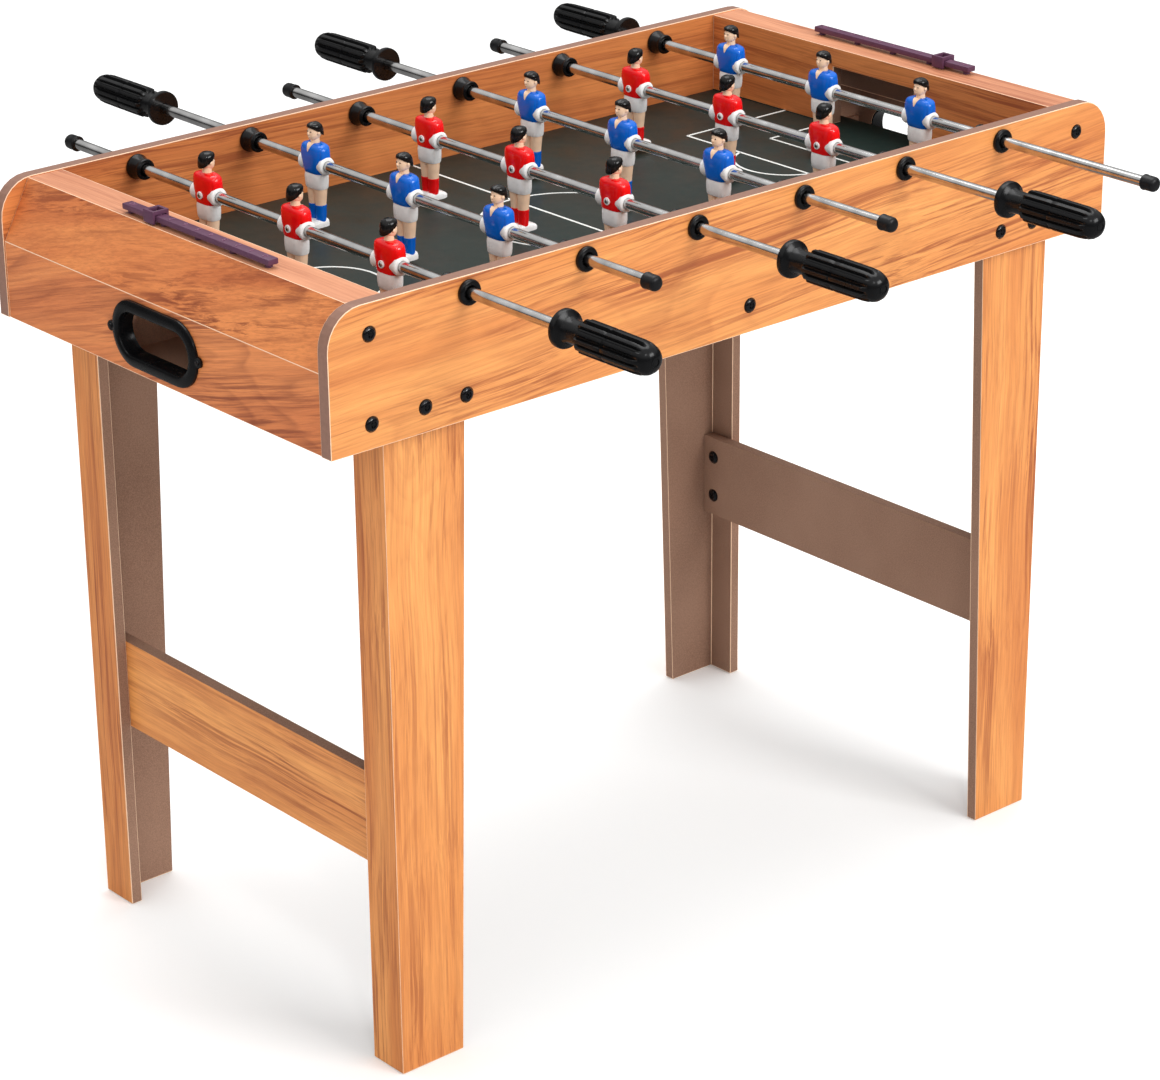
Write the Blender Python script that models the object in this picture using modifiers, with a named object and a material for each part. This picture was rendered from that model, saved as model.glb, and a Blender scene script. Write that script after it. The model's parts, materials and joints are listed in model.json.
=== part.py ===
"""Six-rod table football game on four legs.

Metres, +Z up. The origin is on the floor under the centre of the table.
+X runs along the table and +Y across it. Rod 1 is the rod nearest -X.
"""

import math

import bmesh
import bpy
from mathutils import Vector

# Driving dimensions of the table.
LENGTH = 0.700
WIDTH = 0.370
HEIGHT = 0.550
SIDE_DEPTH = 0.095
SIDE_THICK = 0.010
CORNER_RADIUS = 0.026
CORNER_SEGMENTS = 7
SHELL_THICK = 0.0085
LEG_THICK = 0.0085
GAP = 0.0003

# End cabinets: the goal wall, a flat strip, a slope and an upright board folded from one panel.
END_INSET = 0.001
STRIP_DROP = 0.0007
STRIP_WIDTH = 0.0275
SLOPE_RUN = 0.0215
SLOPE_FALL = 0.040
GOAL_LINE = LENGTH / 2 - END_INSET - SLOPE_RUN - STRIP_WIDTH

# Playing field, goals and the oval ball-return holes.
FIELD_TOP = 0.490
FIELD_THICK = 0.003
FIELD_END_SLOT = 0.0185
GOAL_WIDTH = 0.084
GOAL_HEIGHT = 0.045
RETURN_WIDTH = 0.081
RETURN_HEIGHT = 0.032
RETURN_CENTRE = 0.4825
RETURN_SEGMENTS = 24

# Ball trays: open boxes under the field's ends, behind the oval holes.
TRAY_WIDTH = 0.116
TRAY_DEPTH = 0.068
TRAY_WALL = 0.004
TRAY_BOTTOM = 0.456

# Legs are folded L-shaped boards; the wide wing narrows towards the foot.
LEG_CORNER_X = 0.302
LEG_WIDE_TOP = 0.066
LEG_WIDE_FOOT = 0.0515
LEG_NARROW = 0.0316
STRETCHER_TOP = 0.2075
STRETCHER_DEPTH = 0.0665
STRETCHER_THICK = 0.009

# Rods, from the floor to their axis, and the pieces that turn with them.
ROD_COUNT = 6
ROD_PITCH = 0.096
ROD_AXIS = 0.539
ROD_RADIUS = 0.0038
ROD_SPAN = 0.616
ROD_SHIFTS = (-0.050, 0.054, -0.047, 0.038, -0.054, -0.019)
TUBE_DEPTH_IN_HANDLE = 0.060
CAP_RADIUS = 0.0055
CAP_LENGTH = 0.0115
CAP_TIP = 0.003
HANDLE_LENGTH = 0.083
HANDLE_RADIUS = 0.011
FLANGE_RADIUS = 0.0125
ROUND_STEPS = 12

# Players: three on each rod; the middle one's place across the table differs from rod to rod.
PLAYER_PITCH = 0.0985
PLAYER_MIDDLES = (-0.008, -0.001, -0.0055, -0.004, -0.008, -0.008)
PLAYER_HUB_RADIUS = 0.0065
PLAYER_HUB_LENGTH = 0.029
PLAYER_BORE = 0.0042
HEAD_HEIGHT = 0.0234
HEAD_RADII = (0.0062, 0.0057, 0.0061)

# Bushings in the side boards.
BUSHING_SLEEVE = 0.0059
BUSHING_BORE = 0.0045
BUSHING_NOSE = 0.012
BUSHING_OUTER = 0.0085
BUSHING_OUTER_DEPTH = 0.0035
BUSHING_INNER = 0.0088
BUSHING_WAIST = 0.0066
BUSHING_LIP = 0.0074

# Score counters on the top strips.
RAIL_LENGTH = 0.160
RAIL_CENTRES = {-1: -0.013, 1: 0.0}
RAIL_WIDTH = 0.008
RAIL_DEPTH = 0.0040
RAIL_FEET = 5
RAIL_FOOT = 0.005
RAIL_FOOT_HEIGHT = 0.0022
RAIL_FROM_GOAL_LINE = 0.0205
POINTER_LENGTH = 0.011
POINTER_WIDTH = 0.0125
POINTER_PLAY = 0.0004
POINTER_TOP = 0.003
POINTER_CLEARANCE = 0.001
POINTER_PLACES = {"left": 0.034, "right": -0.051}

# Colours (linear), roughness and metallic value of each material.
FINISHES = {
    "laminate": ((0.62, 0.27, 0.09), 0.38, 0.0),
    "raw_board": ((0.22, 0.13, 0.08), 0.85, 0.0),
    "field": ((0.018, 0.032, 0.026), 0.45, 0.0),
    "steel": ((0.62, 0.61, 0.60), 0.22, 1.0),
    "black_plastic": ((0.012, 0.012, 0.013), 0.35, 0.0),
    "purple_plastic": ((0.10, 0.035, 0.08), 0.45, 0.0),
    "red_plastic": ((0.75, 0.01, 0.012), 0.18, 0.0),
    "blue_plastic": ((0.008, 0.12, 0.62), 0.18, 0.0),
}


def clear_scene():
    for obj in list(bpy.data.objects):
        bpy.data.objects.remove(obj, do_unlink=True)


def new_collection(name):
    collection = bpy.data.collections.new(name)
    bpy.context.scene.collection.children.link(collection)
    return collection


def principled(name, finish):
    colour, roughness, metallic = FINISHES[finish]
    material = bpy.data.materials.new(name)
    material.use_nodes = True
    shader = material.node_tree.nodes["Principled BSDF"]
    shader.inputs["Base Color"].default_value = (*colour, 1.0)
    shader.inputs["Roughness"].default_value = roughness
    shader.inputs["Metallic"].default_value = metallic
    return material


def take(obj, name, collection):
    """Names a new object and moves it into a collection."""
    obj.name = name
    obj.data.name = name
    for holder in list(obj.users_collection):
        holder.objects.unlink(obj)
    collection.objects.link(obj)
    return obj


def box(name, low, high, collection):
    """A box between two corners, with its scale applied."""
    low, high = Vector(low), Vector(high)
    bpy.ops.mesh.primitive_cube_add(size=1, location=(low + high) / 2)
    obj = take(bpy.context.object, name, collection)
    for vertex in obj.data.vertices:
        vertex.co = Vector(a * b for a, b in zip(vertex.co, high - low))
    return obj


def rod_cylinder(name, radius, length, centre, collection):
    """A cylinder whose axis runs across the table."""
    bpy.ops.mesh.primitive_cylinder_add(
        vertices=ROUND_STEPS, radius=radius, depth=length, location=centre, rotation=(math.pi / 2, 0, 0)
    )
    return take(bpy.context.object, name, collection)


def turned(name, profile, centre, side, collection, closed=False):
    """A round piece about an axis across the table; side says which way its profile points."""
    mesh = bpy.data.meshes.new(name)
    edges = [(i, i + 1) for i in range(len(profile) - 1)]
    if closed:
        edges.append((len(profile) - 1, 0))
    mesh.from_pydata([(radius, 0, along) for radius, along in profile], edges, [])
    obj = bpy.data.objects.new(name, mesh)
    collection.objects.link(obj)
    screw = obj.modifiers.new("turn", "SCREW")
    screw.steps = ROUND_STEPS
    screw.render_steps = ROUND_STEPS
    screw.use_merge_vertices = True
    screw.merge_threshold = 0.00001
    screw.use_smooth_shade = True
    obj.rotation_euler = (-side * math.pi / 2, 0, 0)
    obj.location = centre
    return obj


def boolean(obj, other, operation):
    modifier = obj.modifiers.new(other.name, "BOOLEAN")
    modifier.operation = operation
    modifier.solver = "EXACT"
    modifier.object = other


def as_cutter(obj):
    obj.hide_render = True
    obj.display_type = "WIRE"
    return obj


def bake(obj, name):
    """The evaluated mesh of an object, as new mesh data."""
    graph = bpy.context.evaluated_depsgraph_get()
    mesh = bpy.data.meshes.new_from_object(obj.evaluated_get(graph))
    mesh.name = name
    return mesh


def rod_places():
    """Number, X, side of the handle and Y of the middle of each rod."""
    for i, shift in enumerate(ROD_SHIFTS):
        x = (i - (ROD_COUNT - 1) / 2) * ROD_PITCH
        side = -1 if i % 2 == 0 else 1
        yield i + 1, x, side, shift


def side_board(name, side, cutters, collection):
    """A long side board with rounded top corners and one hole for each rod."""
    outer = side * WIDTH / 2
    inner = side * (WIDTH / 2 - SIDE_THICK)
    low = (-LENGTH / 2, min(outer, inner), HEIGHT - SIDE_DEPTH)
    high = (LENGTH / 2, max(outer, inner), HEIGHT)
    obj = box(name, low, high, collection)
    bm = bmesh.new()
    bm.from_mesh(obj.data)
    top = max(v.co.z for v in bm.verts)
    corners = [e for e in bm.edges if all(abs(v.co.z - top) < GAP for v in e.verts)]
    corners = [e for e in corners if abs(e.verts[0].co.x - e.verts[1].co.x) < GAP]
    bmesh.ops.bevel(
        bm, geom=corners, offset=CORNER_RADIUS, segments=CORNER_SEGMENTS, profile=0.5, affect="EDGES"
    )
    bm.to_mesh(obj.data)
    bm.free()
    for cutter in cutters:
        boolean(obj, cutter, "DIFFERENCE")
    obj.data.materials.append(principled(name, "laminate"))
    return obj


def goal_cutter(end, collection):
    """A box that cuts the goal opening, down to field level, out of one goal wall."""
    near, far = sorted((end * (GOAL_LINE - SHELL_THICK), end * (GOAL_LINE + 2 * SHELL_THICK)))
    low = (near, -GOAL_WIDTH / 2, FIELD_TOP - SHELL_THICK)
    high = (far, GOAL_WIDTH / 2, FIELD_TOP + GOAL_HEIGHT)
    return as_cutter(box(f"goal_cutter_{end}", low, high, collection))


def end_shell(name, end, cutters, collection):
    """The folded end panel: an open strip with Solidify, cut by the goal and the ball-return oval."""
    outer = LENGTH / 2 - END_INSET
    top = HEIGHT - STRIP_DROP
    fold = [
        (GOAL_LINE, FIELD_TOP + GAP),
        (GOAL_LINE, top),
        (outer - SLOPE_RUN, top),
        (outer, top - SLOPE_FALL),
        (outer, HEIGHT - SIDE_DEPTH),
    ]
    half = WIDTH / 2 - SIDE_THICK - GAP
    bm = bmesh.new()
    line = [bm.verts.new((end * x, -half, z)) for x, z in fold]
    edges = [bm.edges.new(pair) for pair in zip(line, line[1:])]
    moved = bmesh.ops.extrude_edge_only(bm, edges=edges)["geom"]
    far_line = [g for g in moved if isinstance(g, bmesh.types.BMVert)]
    bmesh.ops.translate(bm, verts=far_line, vec=(0, 2 * half, 0))
    bmesh.ops.recalc_face_normals(bm, faces=bm.faces)
    upper = max(bm.faces, key=lambda face: face.calc_center_median().z)
    if upper.normal.z < 0:
        bmesh.ops.reverse_faces(bm, faces=bm.faces)
    mesh = bpy.data.meshes.new(name)
    bm.to_mesh(mesh)
    bm.free()
    obj = bpy.data.objects.new(name, mesh)
    collection.objects.link(obj)
    solid = obj.modifiers.new("thickness", "SOLIDIFY")
    solid.thickness = SHELL_THICK
    solid.offset = -1
    solid.use_even_offset = True
    for cutter in cutters:
        boolean(obj, cutter, "DIFFERENCE")
    obj.data.materials.append(principled(name, "laminate"))
    return obj


def return_cutter(end, collection):
    """A stadium-shaped cutter for the ball-return hole of one end."""
    half = LENGTH / 2
    radius = RETURN_HEIGHT / 2
    straight = RETURN_WIDTH / 2 - radius
    bpy.ops.mesh.primitive_cylinder_add(
        vertices=RETURN_SEGMENTS, radius=radius, depth=4 * SHELL_THICK,
        location=(end * half, 0, RETURN_CENTRE), rotation=(0, math.pi / 2, 0)
    )
    obj = take(bpy.context.object, f"return_cutter_{end}", collection)
    for vertex in obj.data.vertices:
        vertex.co.y += math.copysign(straight, vertex.co.y) if abs(vertex.co.y) > GAP else 0
    return as_cutter(obj)


def ball_tray(name, end, collection, cutters):
    """The box a ball lies in behind the oval hole: floor, back and two sides."""
    outer = LENGTH / 2 - END_INSET - SHELL_THICK - GAP
    top = FIELD_TOP - FIELD_THICK - GAP
    near, far = sorted((end * outer, end * (outer - TRAY_DEPTH)))
    obj = box(name, (near, -TRAY_WIDTH / 2, TRAY_BOTTOM), (far, TRAY_WIDTH / 2, top), collection)
    inside = TRAY_WIDTH / 2 - TRAY_WALL
    near, far = sorted((end * (outer + TRAY_WALL), end * (outer - TRAY_DEPTH + TRAY_WALL)))
    low = (near, -inside, TRAY_BOTTOM + TRAY_WALL)
    hollow = box(f"{name}_hollow", low, (far, inside, top + TRAY_WALL), cutters)
    boolean(obj, as_cutter(hollow), "DIFFERENCE")
    obj.data.materials.append(principled(name, "raw_board"))
    return obj


def playing_field(collection):
    """The thin playing board, running on under both goal walls to a slot at each end."""
    half_x = LENGTH / 2 - END_INSET - SHELL_THICK - FIELD_END_SLOT
    half_y = WIDTH / 2 - SIDE_THICK - GAP
    low = (-half_x, -half_y, FIELD_TOP - FIELD_THICK)
    obj = box("playing_field", low, (half_x, half_y, FIELD_TOP), collection)
    obj.data.materials.append(principled("playing_field", "field"))
    return obj


def leg(name, end, side, collection):
    """An L-shaped folded board, extruded from its foot; its wide wing is wider at the top."""
    corner_y = WIDTH / 2 - SIDE_THICK - GAP
    plan = [
        (0, 0),
        (LEG_WIDE_FOOT, 0),
        (LEG_WIDE_FOOT, LEG_THICK),
        (LEG_THICK, LEG_THICK),
        (LEG_THICK, LEG_NARROW),
        (0, LEG_NARROW),
    ]
    height = FIELD_TOP - FIELD_THICK - GAP
    bm = bmesh.new()
    foot = bm.faces.new([bm.verts.new((x, y, 0)) for x, y in plan])
    top = bmesh.ops.extrude_face_region(bm, geom=[foot])["geom"]
    for vertex in (g for g in top if isinstance(g, bmesh.types.BMVert)):
        vertex.co.z = height
        if vertex.co.x > LEG_THICK + GAP:
            vertex.co.x = LEG_WIDE_TOP
    for vertex in bm.verts:
        vertex.co.x = end * (LEG_CORNER_X - vertex.co.x)
        vertex.co.y = side * (corner_y - vertex.co.y)
    bmesh.ops.recalc_face_normals(bm, faces=bm.faces)
    if bm.calc_volume(signed=True) < 0:
        bmesh.ops.reverse_faces(bm, faces=bm.faces)
    mesh = bpy.data.meshes.new(name)
    bm.to_mesh(mesh)
    bm.free()
    obj = bpy.data.objects.new(name, mesh)
    collection.objects.link(obj)
    mesh.materials.append(principled(name, "laminate"))
    return obj


def stretcher(name, end, collection):
    """The board that ties the two legs of one end, on the inner faces of their narrow wings."""
    outer = LEG_CORNER_X - LEG_THICK - GAP
    half = WIDTH / 2 - SIDE_THICK - LEG_THICK - 2 * GAP
    xs = sorted((end * outer, end * (outer - STRETCHER_THICK)))
    low = (xs[0], -half, STRETCHER_TOP - STRETCHER_DEPTH)
    obj = box(name, low, (xs[1], half, STRETCHER_TOP), collection)
    obj.data.materials.append(principled(name, "raw_board"))
    return obj


def bushing(name, x, side, collection):
    """Outer flange, sleeve through the side board and a cone with a lipped nose inside."""
    inside = -SIDE_THICK - GAP
    nose = -SIDE_THICK - BUSHING_NOSE
    profile = [
        (BUSHING_BORE, BUSHING_OUTER_DEPTH),
        (BUSHING_OUTER - 0.001, BUSHING_OUTER_DEPTH),
        (BUSHING_OUTER, BUSHING_OUTER_DEPTH - 0.001),
        (BUSHING_OUTER, GAP),
        (BUSHING_SLEEVE, GAP),
        (BUSHING_SLEEVE, inside),
        (BUSHING_INNER, inside),
        (BUSHING_INNER, inside - 0.002),
        (BUSHING_WAIST, nose + 0.003),
        (BUSHING_LIP, nose + 0.002),
        (BUSHING_LIP, nose),
        (BUSHING_BORE, nose),
    ]
    obj = turned(name, profile, (x, side * WIDTH / 2, ROD_AXIS), side, collection, closed=True)
    obj.data.materials.append(principled(name, "black_plastic"))
    return obj


def rod_tube(name, x, side, shift, collection):
    """The steel tube with its rubber end cap; the other end stands inside the handle."""
    half = ROD_SPAN / 2
    handle_start = half - HANDLE_LENGTH
    profile = [
        (0, handle_start + TUBE_DEPTH_IN_HANDLE),
        (ROD_RADIUS, handle_start + TUBE_DEPTH_IN_HANDLE),
        (ROD_RADIUS, CAP_LENGTH - half),
        (CAP_RADIUS, CAP_LENGTH - half),
        (CAP_RADIUS, CAP_TIP - half),
        (CAP_RADIUS * 0.6, -half),
        (0, -half),
    ]
    obj = turned(name, profile, (x, shift, ROD_AXIS), side, collection)
    obj.data.materials.append(principled(name, "steel"))
    return obj


def handle(name, x, side, shift, collection):
    """Flange, neck and rounded grip, with a blind bore that holds the tube."""
    end = ROD_SPAN / 2
    start = end - HANDLE_LENGTH
    bore = ROD_RADIUS + GAP
    profile = [
        (0, end),
        (HANDLE_RADIUS * 0.55, end),
        (HANDLE_RADIUS * 0.88, end - 0.003),
        (HANDLE_RADIUS, end - 0.009),
        (HANDLE_RADIUS, start + 0.024),
        (HANDLE_RADIUS * 0.75, start + 0.021),
        (HANDLE_RADIUS * 0.75, start + 0.0065),
        (FLANGE_RADIUS, start + 0.0050),
        (FLANGE_RADIUS, start),
        (bore, start),
        (bore, start + TUBE_DEPTH_IN_HANDLE + GAP),
        (0, start + TUBE_DEPTH_IN_HANDLE + GAP),
    ]
    obj = turned(name, profile, (x, shift, ROD_AXIS), side, collection)
    obj.data.materials.append(principled(name, "black_plastic"))
    return obj


def player_mesh(name, finish, collection):
    """One player about its rod axis, facing +X: hub, body, legs, shoe block, neck and head."""
    hub = rod_cylinder(name, PLAYER_HUB_RADIUS, PLAYER_HUB_LENGTH, (0, 0, 0), collection)
    bpy.ops.mesh.primitive_uv_sphere_add(segments=8, ring_count=6, radius=1, location=(0, 0, HEAD_HEIGHT))
    head = take(bpy.context.object, f"{name}_head", collection)
    head.scale = HEAD_RADII
    blocks = {
        "torso": ((-0.0066, -0.0116, -0.0060), (0.0066, 0.0116, 0.0144)),
        "shorts": ((-0.0056, -0.0096, -0.0170), (0.0056, 0.0096, -0.0045)),
        "legs": ((-0.0045, -0.0068, -0.0410), (0.0045, 0.0068, -0.0150)),
        "shoes": ((-0.0062, -0.0074, -0.0450), (0.0115, 0.0074, -0.0398)),
        "neck": ((-0.0031, -0.0033, 0.0131), (0.0031, 0.0033, 0.0197)),
    }
    pieces = [box(f"{name}_{part}", low, high, collection) for part, (low, high) in blocks.items()]
    for piece in [*pieces, head]:
        boolean(hub, piece, "UNION")
    bore = rod_cylinder(f"{name}_bore", PLAYER_BORE, 2 * PLAYER_HUB_LENGTH, (0, 0, 0), collection)
    boolean(hub, bore, "DIFFERENCE")
    bpy.context.view_layer.update()
    mesh = bake(hub, name)
    mesh.transform(hub.matrix_world)
    for obj in [hub, head, bore, *pieces]:
        bpy.data.objects.remove(obj, do_unlink=True)
    mesh.shade_smooth()
    mesh.set_sharp_from_angle(angle=math.radians(35))
    mesh.materials.clear()
    mesh.materials.append(principled(name, finish))
    return mesh


def player(name, mesh, x, y, facing, collection):
    obj = bpy.data.objects.new(name, mesh)
    collection.objects.link(obj)
    obj.location = (x, y, ROD_AXIS)
    obj.rotation_euler = (0, 0, 0 if facing > 0 else math.pi)
    return obj


def score_rail(name, end, collection, cutters):
    """A score bar on a row of small feet, joined to it with unions."""
    x = end * (GOAL_LINE + RAIL_FROM_GOAL_LINE)
    centre = RAIL_CENTRES[end]
    floor = HEIGHT - STRIP_DROP + GAP
    bottom = floor + RAIL_FOOT_HEIGHT
    low = (x - RAIL_WIDTH / 2, centre - RAIL_LENGTH / 2, bottom)
    high = (x + RAIL_WIDTH / 2, centre + RAIL_LENGTH / 2, bottom + RAIL_DEPTH)
    obj = box(name, low, high, collection)
    for i in range(RAIL_FEET):
        y = centre + (i / (RAIL_FEET - 1) - 0.5) * (RAIL_LENGTH - 2 * RAIL_FOOT)
        foot_low = (x - RAIL_FOOT / 2, y - RAIL_FOOT / 2, floor)
        foot_high = (x + RAIL_FOOT / 2, y + RAIL_FOOT / 2, bottom + RAIL_DEPTH / 2)
        boolean(obj, as_cutter(box(f"{name}_foot_{i + 1}", foot_low, foot_high, cutters)), "UNION")
    obj.data.materials.append(principled(name, "purple_plastic"))
    return obj


def score_pointer(name, end, y, collection, cutters):
    """A sliding marker: an inverted channel that hangs over the score bar."""
    x = end * (GOAL_LINE + RAIL_FROM_GOAL_LINE)
    strip = HEIGHT - STRIP_DROP
    bar_top = strip + GAP + RAIL_FOOT_HEIGHT + RAIL_DEPTH
    low = (x - POINTER_WIDTH / 2, y - POINTER_LENGTH / 2, strip + POINTER_CLEARANCE)
    high = (x + POINTER_WIDTH / 2, y + POINTER_LENGTH / 2, bar_top + POINTER_TOP)
    obj = box(name, low, high, collection)
    channel = RAIL_WIDTH / 2 + POINTER_PLAY
    channel_low = (x - channel, y - POINTER_LENGTH, strip)
    channel_high = (x + channel, y + POINTER_LENGTH, bar_top + POINTER_PLAY)
    boolean(obj, as_cutter(box(f"{name}_channel", channel_low, channel_high, cutters)), "DIFFERENCE")
    obj.data.materials.append(principled(name, "purple_plastic"))
    return obj


def build():
    clear_scene()
    table = new_collection("foosball_table")
    cutters = new_collection("cutters")

    holes = []
    for number, x, _, _ in rod_places():
        hole_radius = BUSHING_SLEEVE + GAP
        hole = rod_cylinder(f"rod_hole_{number}", hole_radius, WIDTH + SIDE_THICK, (x, 0, ROD_AXIS), cutters)
        holes.append(as_cutter(hole))
    side_board("side_board_near", -1, holes, table)
    side_board("side_board_far", 1, holes, table)
    playing_field(table)

    for end_name, end in (("left", -1), ("right", 1)):
        openings = [goal_cutter(end, cutters), return_cutter(end, cutters)]
        end_shell(f"end_shell_{end_name}", end, openings, table)
        ball_tray(f"ball_tray_{end_name}", end, table, cutters)
        stretcher(f"stretcher_{end_name}", end, table)
        score_rail(f"score_rail_{end_name}", end, table, cutters)
        score_pointer(f"score_pointer_{end_name}", end, POINTER_PLACES[end_name], table, cutters)
        for side_name, side in (("near", -1), ("far", 1)):
            leg(f"leg_{end_name}_{side_name}", end, side, table)

    red = player_mesh("red_player", "red_plastic", cutters)
    blue = player_mesh("blue_player", "blue_plastic", cutters)
    for number, x, side, shift in rod_places():
        rod_tube(f"rod_{number}_tube", x, side, shift, table)
        handle(f"rod_{number}_handle", x, side, shift, table)
        bushing(f"rod_{number}_bushing_near", x, -1, table)
        bushing(f"rod_{number}_bushing_far", x, 1, table)
        mesh, facing = (red, 1) if number % 2 else (blue, -1)
        for place, letter in enumerate("abc"):
            y = PLAYER_MIDDLES[number - 1] + (1 - place) * PLAYER_PITCH
            player(f"rod_{number}_player_{letter}", mesh, x, y, facing, table)


build()
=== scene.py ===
"""Looks of the table football game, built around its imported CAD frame."""

import json
import math

import bmesh
import bpy
from mathutils import Matrix, Vector


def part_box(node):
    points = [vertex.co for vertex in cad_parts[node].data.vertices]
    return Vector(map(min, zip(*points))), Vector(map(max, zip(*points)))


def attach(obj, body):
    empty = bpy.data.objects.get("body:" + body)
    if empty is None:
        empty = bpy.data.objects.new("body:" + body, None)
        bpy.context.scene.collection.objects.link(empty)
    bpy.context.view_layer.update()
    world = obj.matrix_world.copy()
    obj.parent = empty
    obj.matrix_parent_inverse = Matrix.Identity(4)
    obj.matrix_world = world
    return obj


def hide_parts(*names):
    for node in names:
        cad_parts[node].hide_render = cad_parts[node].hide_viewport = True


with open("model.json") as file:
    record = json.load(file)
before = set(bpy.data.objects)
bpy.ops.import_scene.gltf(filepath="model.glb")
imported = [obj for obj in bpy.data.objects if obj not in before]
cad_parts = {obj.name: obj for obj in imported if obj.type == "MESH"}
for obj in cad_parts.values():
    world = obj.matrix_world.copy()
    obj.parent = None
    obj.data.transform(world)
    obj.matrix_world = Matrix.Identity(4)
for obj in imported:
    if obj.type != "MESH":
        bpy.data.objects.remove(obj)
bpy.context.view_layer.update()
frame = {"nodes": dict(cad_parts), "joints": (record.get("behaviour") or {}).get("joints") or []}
NODES = frame["nodes"]
JOINTS = {joint["name"]: joint for joint in frame["joints"]}

MM = 0.001
TABLE = "table"
RODS = range(1, 7)
SIDES = {"near": -1, "far": 1}
ENDS = {"left": -1, "right": 1}


# ---------------------------------------------------------------- node helpers


class Nodes:
    """A material's node tree, with short calls for the nodes that the looks need."""

    def __init__(self, name):
        self.material = bpy.data.materials.new(name)
        self.material.use_nodes = True
        self.tree = self.material.node_tree
        self.shader = self.tree.nodes["Principled BSDF"]
        self.coords = self.tree.nodes.new("ShaderNodeTexCoord")
        self.place = self.coords.outputs["Object"]

    def plug(self, socket, value):
        if isinstance(value, bpy.types.NodeSocket):
            self.tree.links.new(value, socket)
        else:
            socket.default_value = value

    def add(self, kind, **inputs):
        node = self.tree.nodes.new(f"ShaderNode{kind}")
        for key, value in inputs.items():
            self.plug(node.inputs[key.replace("_", " ")], value)
        return node

    def stretched(self, scale, offset=(0, 0, 0), vector=None):
        """The place, or another vector, scaled on each axis and moved by an offset."""
        node = self.add("Mapping", Vector=vector or self.place, Scale=scale, Location=offset)
        return node.outputs["Vector"]

    def wavy(self, scale, amount, tilt=(0, 0, 0)):
        """The place, turned by a tilt and pushed about gently, so that straight grain wanders."""
        drift = self.add("TexNoise", Vector=self.place, Scale=scale, Detail=1.0).outputs["Color"]
        push = self.tree.nodes.new("ShaderNodeVectorMath")
        push.operation = "MULTIPLY_ADD"
        self.plug(push.inputs[0], drift)
        push.inputs[1].default_value = (amount, amount, amount)
        self.plug(push.inputs[2], self.place)
        return self.add("Mapping", Vector=push.outputs["Vector"], Rotation=tilt).outputs["Vector"]

    def noise(self, scale, detail=2.0, distortion=0.0, vector=None, roughness=0.5):
        node = self.add("TexNoise", Scale=scale, Detail=detail, Distortion=distortion,
                        Roughness=roughness)
        self.plug(node.inputs["Vector"], vector or self.place)
        return node.outputs["Fac"]

    def ramp(self, value, *stops):
        """stops are (position, grey or colour)."""
        node = self.tree.nodes.new("ShaderNodeValToRGB")
        self.plug(node.inputs["Fac"], value)
        elements = node.color_ramp.elements
        while len(elements) < len(stops):
            elements.new(0.5)
        for element, (position, colour) in zip(elements, stops):
            element.position = position
            element.color = (*colour, 1) if isinstance(colour, tuple) else (colour, colour, colour, 1)
        return node.outputs["Color"]

    def mix(self, factor, a, b, kind="MIX"):
        node = self.tree.nodes.new("ShaderNodeMix")
        node.data_type = "RGBA"
        node.blend_type = kind
        self.plug(node.inputs[0], factor)
        self.plug(node.inputs[6], a if isinstance(a, bpy.types.NodeSocket) else (*a, 1))
        self.plug(node.inputs[7], b if isinstance(b, bpy.types.NodeSocket) else (*b, 1))
        return node.outputs[2]

    def maths(self, kind, a, b=0.0):
        node = self.tree.nodes.new("ShaderNodeMath")
        node.operation = kind
        self.plug(node.inputs[0], a)
        self.plug(node.inputs[1], b)
        return node.outputs["Value"]

    def bump(self, height, strength, distance=0.001):
        node = self.add("Bump", Height=height, Strength=strength, Distance=distance)
        return node.outputs["Normal"]

    def finish(self, colour, roughness, normal=None, **extra):
        self.plug(self.shader.inputs["Base Color"], colour)
        self.plug(self.shader.inputs["Roughness"], roughness)
        if normal:
            self.plug(self.shader.inputs["Normal"], normal)
        for key, value in extra.items():
            self.plug(self.shader.inputs[key.replace("_", " ")], value)
        return self.material


# ---------------------------------------------------------------- materials


# Wood tones are light, middle and dark; raw board tones are low, high and pale.
LIGHT_OAK = ((0.82, 0.350, 0.100), (0.65, 0.230, 0.060), (0.25, 0.046, 0.014))
INNER_OAK = ((0.80, 0.285, 0.082), (0.62, 0.190, 0.054), (0.26, 0.050, 0.018))
RED_OAK = ((0.80, 0.275, 0.082), (0.60, 0.165, 0.048), (0.17, 0.026, 0.011))
# Paler, greyer tones that paint the sheen of light on the up-facing strip of the end panels.
STRIP_OAK_PAINTED_SHEEN = ((0.74, 0.34, 0.185), (0.58, 0.235, 0.12), (0.30, 0.08, 0.038))
RAW_BOARD = ((0.22, 0.118, 0.076), (0.33, 0.185, 0.122), (0.37, 0.220, 0.150))
SHADED = 0.88


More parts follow.
